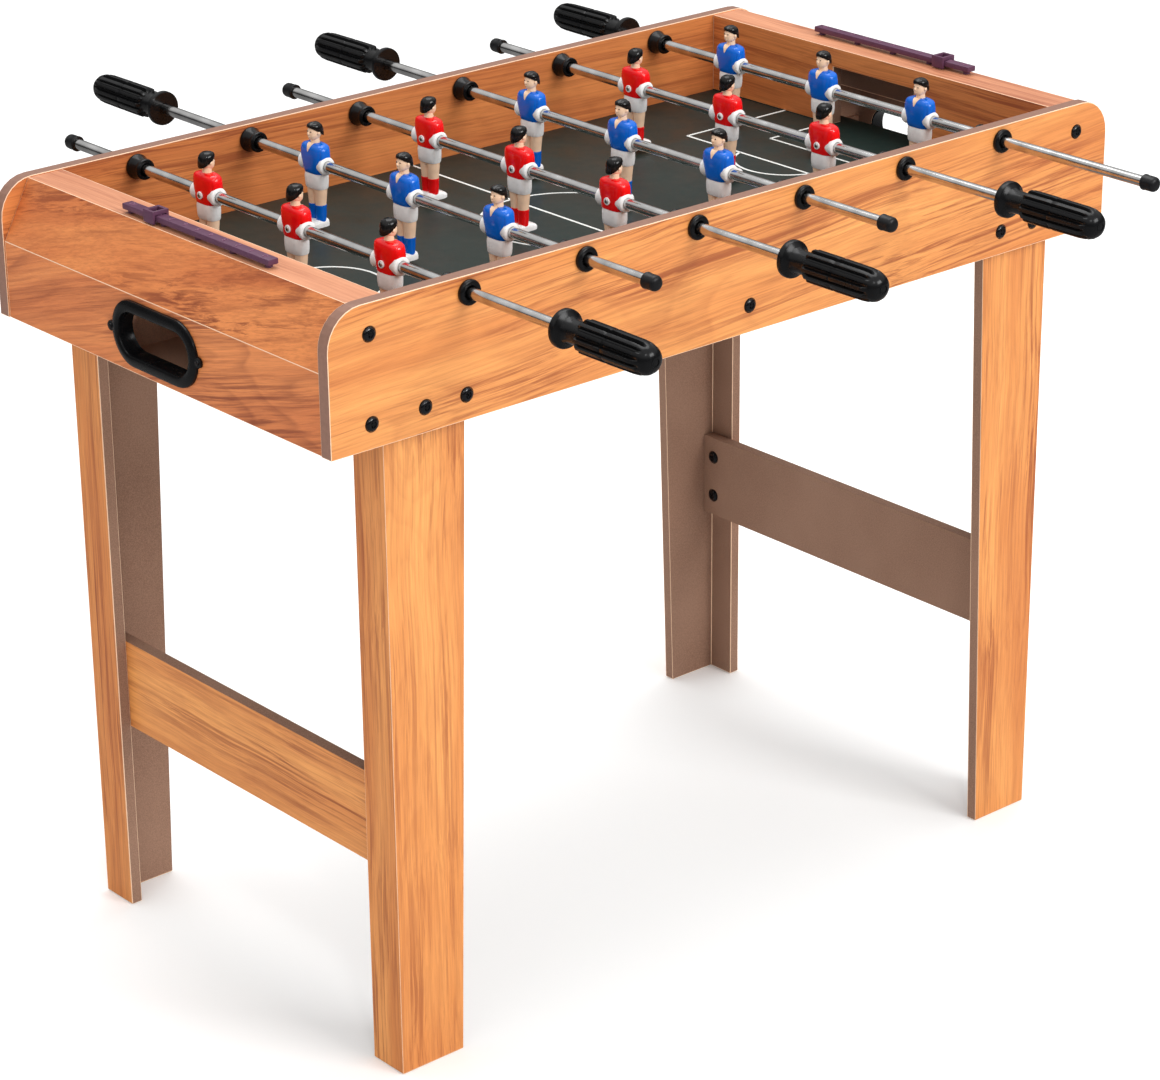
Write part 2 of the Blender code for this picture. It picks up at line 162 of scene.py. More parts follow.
def board_colour(nodes, grain, tones, seed, tilt, figure):
    """Printed wood: clouds of two tones, patchy dark streaks, a sweeping figure and fine pores."""
    light, middle, dark = tones
    offset = (seed * 1.7, seed * 2.3, seed * 3.1)
    wander = nodes.wavy(7.0, 0.009, tilt)

    def layer(along, across, detail, distortion=0.0, roughness=0.55):
        scale = [across] * 3
        scale[grain] = along
        return nodes.noise(1.0, detail, distortion, nodes.stretched(scale, offset, wander), roughness)

    clouds = nodes.ramp(layer(2.6, 26.0, 3.0, 0.5), (0.34, 0.0), (0.66, 1.0))
    patches = nodes.ramp(layer(3.4, 24.0, 2.0, 0.4), (0.38, 0.15), (0.60, 1.0))
    streaks = nodes.ramp(layer(5.0, 280.0, 6.0, 0.6, 0.68), (0.47, 0.0), (0.60, 1.0))
    ring_count = 14.0
    rings = nodes.maths("FRACT", nodes.maths("MULTIPLY", layer(2.2, 12.0, 1.5, 0.7, 0.4), ring_count))
    rings = nodes.ramp(rings, (0.0, 0.0), (0.55, 0.18), (0.88, 1.0), (1.0, 0.0))
    sweep = nodes.maths("MULTIPLY", rings, nodes.ramp(layer(6.0, 120.0, 4.0), (0.38, 0.25), (0.62, 1.0)))
    fine = nodes.ramp(layer(9.0, 620.0, 3.0), (0.42, 0.0), (0.70, 1.0))
    pores = nodes.ramp(layer(45.0, 1500.0, 2.0), (0.36, 1.0), (0.52, 0.0))
    colour = nodes.mix(clouds, light, middle)
    streaks = nodes.maths("MULTIPLY", streaks, patches)
    for marks, strength in ((streaks, 0.74), (sweep, figure), (fine, 0.24), (pores, 0.14)):
        colour = nodes.mix(nodes.maths("MULTIPLY", marks, strength), colour, dark)
    return colour, pores


def raw_colour(nodes, lift=1.0):
    """Bare fibreboard: fine fibres in two browns under paler clouds; lift brightens them all."""
    fibres = nodes.noise(1400.0, 3.0)
    low, high, pale = (tuple(c * lift for c in tone) for tone in RAW_BOARD)
    specks = nodes.ramp(fibres, (0.35, low), (0.68, high))
    return nodes.mix(nodes.ramp(nodes.noise(14.0, 2.0), (0.35, 0.0), (0.65, 0.35)), specks, pale)


def facing(nodes, axis, sign):
    """1 where the surface faces one way along an axis, else 0."""
    split = nodes.add("SeparateXYZ", Vector=nodes.coords.outputs["Normal"])
    return nodes.maths("GREATER_THAN", nodes.maths("MULTIPLY", split.outputs[axis], float(sign)), 0.6)


def laminate(name, grain, tones, seed=0, raw_faces=(), tilt=(0, 0, 0), figure=0.12):
    """Wood-print laminate; raw_faces lists (axis, sign) of faces that show the bare brown board."""
    nodes = Nodes(name)
    colour, pores = board_colour(nodes, grain, tones, seed, tilt, figure)
    roughness = nodes.ramp(nodes.noise(60.0, 2.0), (0.3, 0.36), (0.7, 0.46))
    raw = None
    for axis, sign in raw_faces:
        hit = facing(nodes, axis, sign)
        raw = hit if raw is None else nodes.maths("MAXIMUM", raw, hit)
    if raw is not None:
        colour = nodes.mix(raw, colour, raw_colour(nodes))
        roughness = nodes.mix(raw, roughness, (0.85, 0.85, 0.85))
    normal = nodes.bump(nodes.maths("SUBTRACT", 1.0, pores), 0.10, 0.0002)
    return nodes.finish(colour, roughness, normal, Specular_IOR_Level=0.35)


def shaded(colour):
    """The darker partner of a colour, for soft mottling."""
    return tuple(c * SHADED for c in colour)


def edge_band(name, colour):
    """Edge strip, slightly mottled: the printed edge band, and the pale painted highlight on rounded edges
    and folds.
    """
    nodes = Nodes(name)
    shade = nodes.ramp(nodes.noise(300.0, 2.0), (0.3, shaded(colour)), (0.7, colour))
    normal = nodes.bump(nodes.noise(700.0), 0.08, 0.0002)
    return nodes.finish(shade, 0.5, normal, Specular_IOR_Level=0.3)


def raw_board(name, lift=1.0):
    """A material that is bare fibreboard on every face."""
    nodes = Nodes(name)
    normal = nodes.bump(nodes.noise(1600.0, 3.0), 0.25, 0.0003)
    return nodes.finish(raw_colour(nodes, lift), 0.86, normal, Specular_IOR_Level=0.2)


def printed_field(name):
    """Satin dark green print with a faint scuffing."""
    nodes = Nodes(name)
    broad = nodes.ramp(nodes.noise(9.0, 3.0), (0.3, (0.007, 0.017, 0.014)), (0.7, (0.011, 0.025, 0.021)))
    scuff = nodes.ramp(nodes.noise(900.0, 2.0), (0.66, 0.0), (0.80, 0.25))
    colour = nodes.mix(scuff, broad, (0.035, 0.045, 0.04))
    roughness = nodes.ramp(nodes.noise(40.0, 3.0), (0.3, 0.34), (0.7, 0.50))
    normal = nodes.bump(nodes.noise(500.0, 2.0), 0.05, 0.0002)
    return nodes.finish(colour, roughness, normal, Specular_IOR_Level=0.28)


def ink(name, colour):
    """Printed lines, laid on a little unevenly."""
    nodes = Nodes(name)
    shade = nodes.ramp(nodes.noise(500.0, 2.0), (0.25, shaded(colour)), (0.6, colour))
    return nodes.finish(shade, 0.5)


def polished_steel(name, dark=0.44, bright=0.64, metallic=1.0):
    """Drawn tube: bright, with fine lines along the rod and slight smears."""
    nodes = Nodes(name)
    lines = nodes.noise(1.0, 3.0, 0.0, nodes.stretched((2600.0, 12.0, 2600.0)))
    smear = nodes.noise(70.0, 3.0)
    dull = (dark, dark * 0.985, dark * 0.97)
    clean = (bright, bright * 0.99, bright * 0.98)
    colour = nodes.ramp(smear, (0.3, dull), (0.7, clean))
    roughness = nodes.ramp(nodes.mix(0.5, lines, smear), (0.35, 0.12), (0.7, 0.24))
    return nodes.finish(colour, roughness, nodes.bump(lines, 0.06, 0.0001), Metallic=metallic)


def plastic(name, colour, roughness=0.3, grain=0.04, coat=0.0, wear=1.25, shine=0.5):
    """Moulded plastic with a soft unevenness, faint scuffs and its own gloss."""
    nodes = Nodes(name)
    mottled = nodes.ramp(nodes.noise(160.0, 3.0), (0.3, shaded(colour)), (0.7, colour))
    scuffs = nodes.ramp(nodes.noise(420.0, 4.0), (0.64, 0.0), (0.78, 0.3))
    shade = nodes.mix(scuffs, mottled, tuple(min(1.0, c * wear) for c in colour))
    gloss = nodes.ramp(nodes.noise(90.0, 3.0), (0.3, roughness * 0.8), (0.7, roughness * 1.25))
    normal = nodes.bump(nodes.noise(1100.0, 2.0), grain, 0.0002)
    return nodes.finish(shade, gloss, normal, Coat_Weight=coat, Coat_Roughness=0.06,
                        Specular_IOR_Level=shine)


def painted_hair(name):
    """Glossy black paint over moulded strands."""
    nodes = Nodes(name)
    strands = nodes.noise(1.0, 3.0, 0.4, nodes.stretched((160.0, 900.0, 160.0)))
    shade = nodes.ramp(strands, (0.3, (0.002, 0.002, 0.002)), (0.7, (0.010, 0.009, 0.009)))
    normal = nodes.bump(strands, 0.25, 0.0004)
    return nodes.finish(shade, 0.16, normal, Coat_Weight=0.2, Coat_Roughness=0.05,
                        Specular_IOR_Level=0.2)


def make_materials():
    """Every material that more than one piece may use, by a short name."""
    return {
        "board": laminate("board_outside", 0, LIGHT_OAK, 1, tilt=(0, math.radians(3), 0), figure=0.22),
        "inside": laminate("board_inside", 0, INNER_OAK, 5, tilt=(0, math.radians(-2), 0)),
        "edge_band": edge_band("edge_band", (0.28, 0.148, 0.105)),
        # A pale colour painted on rounded edges and folds as a highlight.
        "painted_edge_highlight": edge_band("painted_edge_highlight", (0.92, 0.62, 0.42)),
        "end_left": laminate("end_panel_left", 1, RED_OAK, 2, tilt=(math.radians(16), 0, 0),
                             figure=0.40),
        "end_right": laminate("end_panel_right", 1, RED_OAK, 7, tilt=(math.radians(-9), 0, 0),
                              figure=0.40),
        # The strip's paler tone is painted sheen.
        "strip": laminate("end_strip_painted_sheen", 1, STRIP_OAK_PAINTED_SHEEN, 9),
        "wall": laminate("goal_wall", 1, INNER_OAK, 4, figure=0.25),
        "raw": raw_board("raw_board"),
        # The ball trays use the raw board 2.1 times brighter, as painted light where light falls in
        # through the ring.
        "tray": raw_board("tray_board_painted_light", 2.1),
        "field": printed_field("field_print"),
        "white_line": ink("white_line", (0.82, 0.84, 0.81)),
        "steel": polished_steel("drawn_steel"),
        "nickel": polished_steel("nickel_screw", 0.60, 0.78, 0.8),
        "black": plastic("black_plastic", (0.0045, 0.0045, 0.005), 0.24, 0.04, 0.05, shine=0.2),
        "rubber": plastic("black_rubber", (0.007, 0.007, 0.008), 0.36, 0.08, shine=0.25),
        "bolt": plastic("black_oxide", (0.004, 0.004, 0.005), 0.16, 0.04, 0.2, shine=0.35),
        "purple": plastic("purple_plastic", (0.110, 0.040, 0.082), 0.42, 0.10, shine=0.3),
        "digit": plastic("purple_digit", (0.24, 0.11, 0.18), 0.42, 0.05, shine=0.3),
        "red": plastic("red_paint", (0.92, 0.004, 0.006), 0.20, 0.02, 0.35, shine=0.3),
        "blue": plastic("blue_paint", (0.0, 0.135, 0.66), 0.20, 0.02, 0.35, shine=0.3),
        "white": plastic("white_plastic", (0.95, 0.95, 0.94), 0.28, 0.03, 0.15, 1.0),
        "flesh": plastic("flesh_plastic", (1.0, 0.70, 0.48), 0.34, 0.03, 0.1, 1.02, shine=0.3),
        "hair": painted_hair("black_hair_paint"),
        # Dark paint for the eyes, also used as painted shade in the recessed crosses of screws.
        "eye_and_recess_shade": plastic("eye_paint_and_painted_recess_shade", (0.020, 0.012, 0.010), 0.25),
    }


# ---------------------------------------------------------------- mesh helpers


class Shape:
    """Closed forms gathered into one mesh, each with its own material."""

    def __init__(self):
        self.points = []
        self.faces = []
        self.slots = []
        self.materials = []

    def slot(self, material):
        """The material's place in this mesh's list, added when it's new."""
        if material not in self.materials:
            self.materials.append(material)
        return self.materials.index(material)

    def add(self, points, faces, material):
        start = len(self.points)
        self.points += [Vector(p) for p in points]
        self.faces += [tuple(start + i for i in face) for face in faces]
        self.slots += [self.slot(material)] * len(faces)

    def loft(self, rings, material, closed=False):
        """Skin over rings of equal length; capped at both ends, or joined end to end when closed."""
        count = len(rings[0])
        points = [p for ring in rings for p in ring]
        faces = []
        for row in range(len(rings) - (0 if closed else 1)):
            for i in range(count):
                a, b = row * count + i, row * count + (i + 1) % count
                next_row = (row + 1) % len(rings) * count
                faces.append((a, b, next_row + (i + 1) % count, next_row + i))
        if not closed:
            faces.append(tuple(reversed(range(count))))
            faces.append(tuple(range(len(points) - count, len(points))))
        self.add(points, faces, material)

    def turn(self, profile, material, steps=40, axis="Y", closed=False, centre=(0, 0, 0)):
        """Turns (radius, along) points about the X or Y axis; an open profile ends near the axis."""
        rings = []
        for radius, along in profile:
            ring = []
            for i in range(steps):
                angle = 2 * math.pi * i / steps
                u, v = radius * math.cos(angle), radius * math.sin(angle)
                local = (along, u, v) if axis == "X" else (v, along, u)
                ring.append(Vector(local) + Vector(centre))
            rings.append(ring)
        self.loft(rings, material, closed)

    def ball(self, centre, radii, material, steps=14, rows=8):
        """An ellipsoid in level rings, with its poles cut off flat and very small."""
        rings = []
        for row in range(rows + 1):
            tilt = math.pi * (0.02 + 0.96 * row / rows)
            ring = []
            for i in range(steps):
                turn = 2 * math.pi * i / steps
                unit = (math.sin(tilt) * math.cos(turn), math.sin(tilt) * math.sin(turn),
                        -math.cos(tilt))
                ring.append(Vector(centre) + Vector(r * u for r, u in zip(radii, unit)))
            rings.append(ring)
        self.loft(rings, material)

    def block(self, low, high, material):
        """A box between two opposite corners."""
        x0, y0, z0 = low
        x1, y1, z1 = high
        base = [(x0, y0), (x1, y0), (x1, y1), (x0, y1)]
        self.loft([[(x, y, z0) for x, y in base], [(x, y, z1) for x, y in base]], material)

    def mesh(self, name, smooth_angle):
        """The gathered forms as a mesh, shaded smooth up to an angle in degrees."""
        mesh = bpy.data.meshes.new(name)
        mesh.from_pydata(self.points, [], self.faces)
        for material in self.materials:
            mesh.materials.append(material)
        mesh.polygons.foreach_set("material_index", self.slots)
        bm = bmesh.new()
        bm.from_mesh(mesh)
        bmesh.ops.recalc_face_normals(bm, faces=bm.faces)
        bm.to_mesh(mesh)
        bm.free()
        mesh.shade_smooth()
        mesh.set_sharp_from_angle(angle=math.radians(smooth_angle))
        return mesh


def oval(cx, cy, z, ax, ay, power=2.0, count=28, tilt=0.0):
    """A level superellipse ring; tilt lifts it towards +X."""
    ring = []
    for i in range(count):
        angle = 2 * math.pi * i / count
        c, s = math.cos(angle), math.sin(angle)
        x = ax * math.copysign(abs(c) ** (2 / power), c)
        y = ay * math.copysign(abs(s) ** (2 / power), s)
        ring.append((cx + x, cy + y, z + tilt * x))
    return ring


def in_metres(rings):
    """Rings given in millimetres, in metres."""
    return [[tuple(v * MM for v in p) for p in ring] for ring in rings]


def turned(profile, sign=1, start=0.0):
    """A turned profile from millimetres to metres, running from a start along + or - its axis."""
    return [(radius * MM, start + sign * along * MM) for radius, along in profile]


def place(name, mesh, body, location=(0, 0, 0), turn=0.0, replaces=()):
    """Puts a piece into the scene on its body, turned about Z."""
    obj = bpy.data.objects.new(name, mesh)
    bpy.context.scene.collection.objects.link(obj)
    obj.location = location
    obj.rotation_euler = (0, 0, turn)
    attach(obj, body)
    if replaces:
        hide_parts(*replaces)


# ---------------------------------------------------------------- frame pieces


def soften(obj, width, material_index=-1, angle=35):
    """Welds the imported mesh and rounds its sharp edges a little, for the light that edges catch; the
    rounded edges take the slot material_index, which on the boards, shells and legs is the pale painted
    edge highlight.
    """
    weld = obj.modifiers.new("weld", "WELD")
    weld.merge_threshold = 0.01 * MM
    bevel = obj.modifiers.new("soft_edges", "BEVEL")
    bevel.width = width
    bevel.segments = 2
    bevel.limit_method = "ANGLE"
    bevel.angle_limit = math.radians(angle)
    bevel.material = material_index
    bevel.harden_normals = False


def dress(node, *materials):
    """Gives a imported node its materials."""
    obj = NODES[node]
    obj.data.materials.clear()
    for material in materials:
        obj.data.materials.append(material)
    return obj


def end_face(polygon, sign, goal_line):
    """Which material a face of a folded end panel shows: 0 outer, 1 strip in a paler tone that paints
    sheen on the up-facing faces, 2 goal wall, 3 raw board.
    """
    outward = polygon.normal.x * sign
    from_goal_line = abs(polygon.center.x) - goal_line
    if outward < -0.9 and from_goal_line < MM:
        return 2
    if polygon.normal.z > 0.95:
        return 1
    if from_goal_line > 30 * MM and outward > 0.4 and polygon.normal.z > -0.1:
        return 0
    return 3


def dress_frame(m):
    """Dresses the boards, the field, the cabinets, the trays, the stretchers and the legs."""
    for side, across in SIDES.items():
        # Slot 3 is the pale painted highlight that soften puts on the rounded edges.
        obj = dress(f"side_board_{side}", m["board"], m["inside"], m["edge_band"], m["painted_edge_highlight"])
        for polygon in obj.data.polygons:
            outward = polygon.normal.y * across
            polygon.material_index = 0 if outward > 0.5 else 1 if outward < -0.5 else 2
        soften(obj, 0.5 * MM, 3)
    soften(dress("playing_field", m["field"]), 0.3 * MM)
    goal_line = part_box("end_shell_right")[0].x
    for end, sign in ENDS.items():
        shell = dress(f"end_shell_{end}", m[f"end_{end}"], m["strip"], m["wall"], m["raw"],
                      # Slot 4 is the pale painted highlight on the shell's rounded edges and folds.
                      m["painted_edge_highlight"])
        for polygon in shell.data.polygons:
            polygon.material_index = end_face(polygon, sign, goal_line)
        soften(shell, 0.6 * MM, 4, 22)
        # The tray's brightened raw board is painted light.
        soften(dress(f"ball_tray_{end}", m["tray"]), 0.4 * MM)
        raw_faces = [(0, -sign), (2, 1), (2, -1)]
        wood = laminate(f"stretcher_{end}_face", 1, LIGHT_OAK, 11 + sign, raw_faces)
        soften(dress(f"stretcher_{end}", wood), 0.4 * MM, 0)
        for side, across in SIDES.items():
            leg_seed = 20 + 3 * sign + across
            wood = laminate(f"leg_{end}_{side}_face", 2, LIGHT_OAK, leg_seed, raw_faces + [(1, -across)])
            # Slot 1 is the pale painted highlight on the leg's rounded corners.
            soften(dress(f"leg_{end}_{side}", wood, m["painted_edge_highlight"]), 0.5 * MM, 1)


# ---------------------------------------------------------------- field print


LINE_WIDTH = 2.0 * MM
LINE_THICKNESS = 0.10 * MM
LINE_GAP = 0.02 * MM
CENTRE_CIRCLE = 62 * MM
PENALTY_AREA = (101 * MM, 94 * MM)
GOAL_AREA = (60 * MM, 47 * MM)
PENALTY_SPOT = 89 * MM
PENALTY_ARC = 38.4 * MM


def ribbon(shape, path, z, material, closed=False):
    """A flat printed line along a level path."""
    rings = []
    count = len(path)
    for i, point in enumerate(path):
        before = path[(i - 1) % count] if closed or i else point
        after = path[(i + 1) % count] if closed or i < count - 1 else point
        along = Vector((after[0] - before[0], after[1] - before[1]))
        along.normalize()
        first = Vector((point[0] - before[0], point[1] - before[1]))
        miter = 1.0
        if first.length > 0 and (closed or 0 < i < count - 1):
            miter = 1.0 / max(0.5, abs(first.normalized().dot(along)))
        across = Vector((-along.y, along.x)) * (LINE_WIDTH / 2 * miter)
        left = (point[0] + across.x, point[1] + across.y)
        right = (point[0] - across.x, point[1] - across.y)
        top = z + LINE_THICKNESS
        rings.append([(*left, z), (*right, z), (*right, top), (*left, top)])
    shape.loft(rings, material, closed)


def arc(cx, radius, start, stop, steps):
    """Points of a level arc about a point on the table's long middle line."""
    points = []
    for i in range(steps + 1):
        angle = start + (stop - start) * i / steps
        points.append((cx + radius * math.cos(angle), radius * math.sin(angle)))
    return points


def field_lines(m):
    """Halfway line, centre circle and, at each end, two goal areas and an arc."""
    half_y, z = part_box("playing_field")[1].yz
    z += LINE_GAP
    goal_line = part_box("end_shell_right")[0].x
    white = m["white_line"]
    shape = Shape()
    ribbon(shape, [(0, -half_y), (0, half_y)], z, white)
    ribbon(shape, arc(0, CENTRE_CIRCLE, 0, 2 * math.pi, 72)[:-1], z, white, closed=True)
    for end in ENDS.values():
        for depth, half in (PENALTY_AREA, GOAL_AREA):
            outer = end * goal_line
            inner = end * (goal_line - depth)
            corners = [(outer, -half), (inner, -half), (inner, half), (outer, half)]
            for a, b in zip(corners, corners[1:]):
                ribbon(shape, [a, b], z, white)
        facing_in = math.pi * (end > 0)
        reach = math.acos((PENALTY_AREA[0] - PENALTY_SPOT) / PENALTY_ARC)
        centre = end * (goal_line - PENALTY_SPOT)
        ribbon(shape, arc(centre, PENALTY_ARC, facing_in - reach, facing_in + reach, 28), z, white)
    place("field_lines", shape.mesh("field_lines", 38), TABLE)


# ---------------------------------------------------------------- rods

# Profiles are in millimetres: (radius, distance along the axis) for the turned parts, and
# (distance from the flange face, radius) for the handle.
ROD_RADIUS = 3.8
TUBE_IN_HANDLE = 55
CAP_PROFILE = [(3.85, 11.5), (5.1, 11.5), (5.5, 11.0), (5.5, 9.9), (5.25, 9.5), (5.25, 3.4), (5.1, 2.2),
               (4.5, 1.1), (3.3, 0.35), (1.8, 0.05), (0.1, 0.0), (0.1, 3.2), (3.85, 3.2)]
BUSHING_PROFILE = [(4.1, 1.2), (4.5, 2.6), (5.3, 3.2), (6.6, 3.5), (7.8, 3.2), (8.4, 2.3), (8.5, 1.3),
                   (8.4, 0.3), (5.9, 0.3), (5.9, -10.3), (8.5, -10.3), (8.8, -10.8), (8.8, -11.9),
                   (8.4, -12.5), (7.9, -13.8), (7.3, -16.2), (6.8, -18.4), (6.7, -19.2), (7.1, -19.8),
                   (7.4, -20.5), (7.3, -21.4), (6.8, -22.0), (4.9, -22.0), (4.2, -21.2), (4.1, -19.0)]
HANDLE_OUTLINE = [(0, 11.8), (0.5, 12.4), (1.6, 12.5), (3.4, 12.5), (4.4, 12.1), (5.2, 10.4), (6.5, 8.7),
                  (9, 7.9), (16, 7.7), (19.4, 7.9), (20.2, 9.8), (21.4, 10.9), (24, 11.0), (45, 11.0),
                  (69, 10.8), (74, 10.4), (78, 9.2), (80.5, 7.6), (82.2, 5.4), (83, 3.2)]
HANDLE_STATIONS = [0, 0.5, 1.6, 3.4, 4.4, 5.2, 6.5, 9, 12, 16, 19.4, 20.2, 20.8, 21.4, 22.4, 24, 28, 34,
                   40, 43, 44.3, 45, 45.7, 47, 51, 58, 65, 69, 72.5, 74, 75.5, 77, 78, 79.3, 80.5, 81.5,
                   82.2, 82.7, 83]
HANDLE_STEPS = 120
HANDLE_BORE = 4.0
HANDLE_BORE_DEPTH = 58
TIP_RING = [(3.1, 82.9), (3.1, 83.35), (2.5, 83.35), (2.5, 82.9)]
GRIP_START = 19.4
GRIP_END = 77.5
GRIP_GROOVE = 45.0
FLUTES = 12
FLUTE_DEPTH = 2.4
GROOVE_DEPTH = 0.45


def rod_facts(number):
    """A rod's axis point, handle side (+1 or -1 along Y), bare tip and flange face."""
    tube_low, tube_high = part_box(f"rod_{number}_tube")
    grip_low, grip_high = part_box(f"rod_{number}_handle")
    axis = Vector(JOINTS[f"rod_{number}_spin"]["pos_m"])
    if grip_high.y > tube_high.y:
        return axis, 1, tube_low.y, grip_low.y
    return axis, -1, tube_high.y, grip_high.y


def tube_piece(number, m):
    """The steel tube and the rubber cap on its bare end."""
    axis, side, tip, flange = rod_facts(number)
    body = f"rod_{number}_slider"
    inside = flange + side * TUBE_IN_HANDLE * MM
    tube = turned([(ROD_RADIUS * 0.7, 4.0), (ROD_RADIUS, 4.5)], side, tip)
    tube += turned([(ROD_RADIUS, 0), (ROD_RADIUS * 0.7, 0.5)], side, inside)
    shape = Shape()
    shape.turn(tube, m["steel"], 36)
    place(f"rod_{number}_steel_tube", shape.mesh("tube", 38), body, (axis.x, 0, axis.z),
          replaces=[f"rod_{number}_tube"])
    cap = Shape()
    cap.turn(turned(CAP_PROFILE, side, tip), m["rubber"], 36, closed=True)
    place(f"rod_{number}_end_cap", cap.mesh("end_cap", 38), body, (axis.x, 0, axis.z))


def handle_radius(s, angle):
    """Radius in mm of the handle at s mm from its flange face, with deep flutes along the grip."""
    for (s0, r0), (s1, r1) in zip(HANDLE_OUTLINE, HANDLE_OUTLINE[1:]):
        if s0 <= s <= s1:
            radius = r0 + (r1 - r0) * (s - s0) / (s1 - s0)
            break
    fade_in = min(1.0, max(0.0, (s - GRIP_START) / 1.2))
    fade_out = min(1.0, max(0.0, (GRIP_END - s) / 5.0))
    wave = 0.5 + 0.5 * math.cos(FLUTES * angle)
    flute = FLUTE_DEPTH * max(0.0, min(1.0, (0.46 - wave) / 0.30))
    groove = GROOVE_DEPTH * math.exp(-((s - GRIP_GROOVE) / 0.9) ** 2)
    return radius - fade_in * fade_out * (flute + groove)


def handle_mesh(m):
    """The fluted handle, pointing along +Y from its flange face at the origin."""
    around = [2 * math.pi * i / HANDLE_STEPS for i in range(HANDLE_STEPS)]
    rings = []
    for s in (HANDLE_BORE_DEPTH, 0):
        rings.append([(HANDLE_BORE * math.sin(a), s, HANDLE_BORE * math.cos(a)) for a in around])
    for s in HANDLE_STATIONS:
        radii = [handle_radius(s, a) for a in around]
        rings.append([(r * math.sin(a), s, r * math.cos(a)) for r, a in zip(radii, around)])
    shape = Shape()
    shape.loft(in_metres(rings), m["black"])
    shape.turn(turned(TIP_RING), m["black"], 32, closed=True)
    return shape.mesh("handle", 32)


def bushing_mesh(m):
    """Outer flange, sleeve and lipped cone; +Y points out of the board, its origin on the board's face."""
    shape = Shape()
    shape.turn(turned(BUSHING_PROFILE), m["black"], 40, closed=True)
    return shape.mesh("bushing", 50)


def outer_face(side_name):
    """Y of a side board's outer face, and the turn that points +Y out of it."""
    low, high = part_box(f"side_board_{side_name}")
    return (high.y, 0.0) if SIDES[side_name] > 0 else (low.y, math.pi)


def build_rods(m):
    """The tube, end cap, handle and two bushings of every rod."""
    handle = handle_mesh(m)
    bushing = bushing_mesh(m)
    for number in RODS:
        axis, side, _, flange = rod_facts(number)
        tube_piece(number, m)
        place(f"rod_{number}_grip", handle, f"rod_{number}_spinner",
              (axis.x, flange, axis.z), 0.0 if side > 0 else math.pi, [f"rod_{number}_handle"])
        for side_name in SIDES:
            face, turn = outer_face(side_name)
            place(f"rod_{number}_bearing_{side_name}", bushing, TABLE,
                  (axis.x, face, axis.z), turn, [f"rod_{number}_bushing_{side_name}"])


# ---------------------------------------------------------------- players

# A player is described in millimetres about its rod's axis, facing +X with its head up.
# Rows of a level part are (height, half depth, half width), then where its middle lies;
# rows of the neckline are (height, front, half width).
TORSO = [(-6.6, 5.2, 8.8, 0.0), (-6.0, 5.9, 9.4, 0.0), (-3.0, 6.3, 10.0, 0.1), (0.8, 6.6, 10.6, 0.2),
         (4.1, 6.8, 11.2, 0.3), (7.4, 6.8, 11.6, 0.3), (10.6, 6.5, 11.6, 0.2), (12.6, 6.0, 11.2, 0.1),
         (13.8, 5.2, 10.0, 0.0), (14.6, 4.2, 7.4, 0.0), (15.0, 3.2, 4.4, 0.0)]
SLEEVE = [(2.1, 3.4, 1.4, 9.8), (2.8, 4.3, 2.2, 10.0), (5.7, 4.5, 2.6, 10.0), (9.0, 4.4, 2.6, 9.9),
          (11.6, 4.1, 2.4, 9.6), (13.2, 3.2, 2.0, 9.0), (14.0, 1.6, 1.0, 8.4)]
NECKLINE = [(9.4, 7.15, 0.2), (10.6, 6.9, 0.8), (12.0, 6.45, 1.4), (13.0, 6.0, 1.9), (13.8, 5.4, 2.3),
            (14.5, 4.5, 2.6), (15.0, 3.5, 2.8)]
SHORTS = [(-5.4, 5.0, 8.4), (-6.4, 5.6, 9.0), (-9.0, 5.9, 9.5), (-13.0, 5.8, 9.5), (-16.6, 5.5, 9.1),
          (-17.4, 5.0, 8.7)]
LEG = [(-16.0, 4.5, 4.3, 4.2), (-20.0, 4.3, 4.2, 4.1), (-25.0, 4.0, 3.8, 3.8), (-31.0, 3.7, 3.5, 3.5)]
SOCK = [(-29.0, 3.7, 3.5, 3.5), (-29.2, 4.1, 3.9, 3.5), (-30.6, 4.15, 3.95, 3.5), (-31.2, 3.95, 3.75, 3.5),
        (-35.0, 3.95, 3.7, 3.5), (-39.0, 3.6, 3.4, 3.4), (-42.0, 3.6, 3.4, 3.4)]
SHOES = [(-45.0, 8.2, 6.8, 2.5), (-44.7, 8.8, 7.3, 2.5), (-42.4, 8.8, 7.3, 2.5), (-41.2, 8.0, 7.0, 1.9),
         (-40.2, 6.0, 6.4, 0.6), (-39.6, 4.6, 5.6, 0.0)]
HUB = [(4.0, 13.2), (5.4, 13.2), (6.1, 12.8), (6.4, 12.0), (6.4, 10.4), (5.8, 9.2), (5.8, 5.0), (4.0, 5.0)]
NECK = [(12.7, 3.4, 3.6), (14.9, 3.3, 3.5), (16.8, 3.1, 3.2), (19.7, 3.1, 3.2)]
HEAD = [(16.9, 1.6, 1.7, 2.0), (17.4, 2.8, 2.6, 1.6), (18.5, 4.1, 3.7, 1.0), (20.3, 4.9, 4.4, 0.6),
        (22.5, 5.2, 4.7, 0.2), (24.4, 4.9, 4.5, 0.0), (25.9, 4.0, 3.8, -0.1), (26.9, 2.4, 2.4, -0.2)]
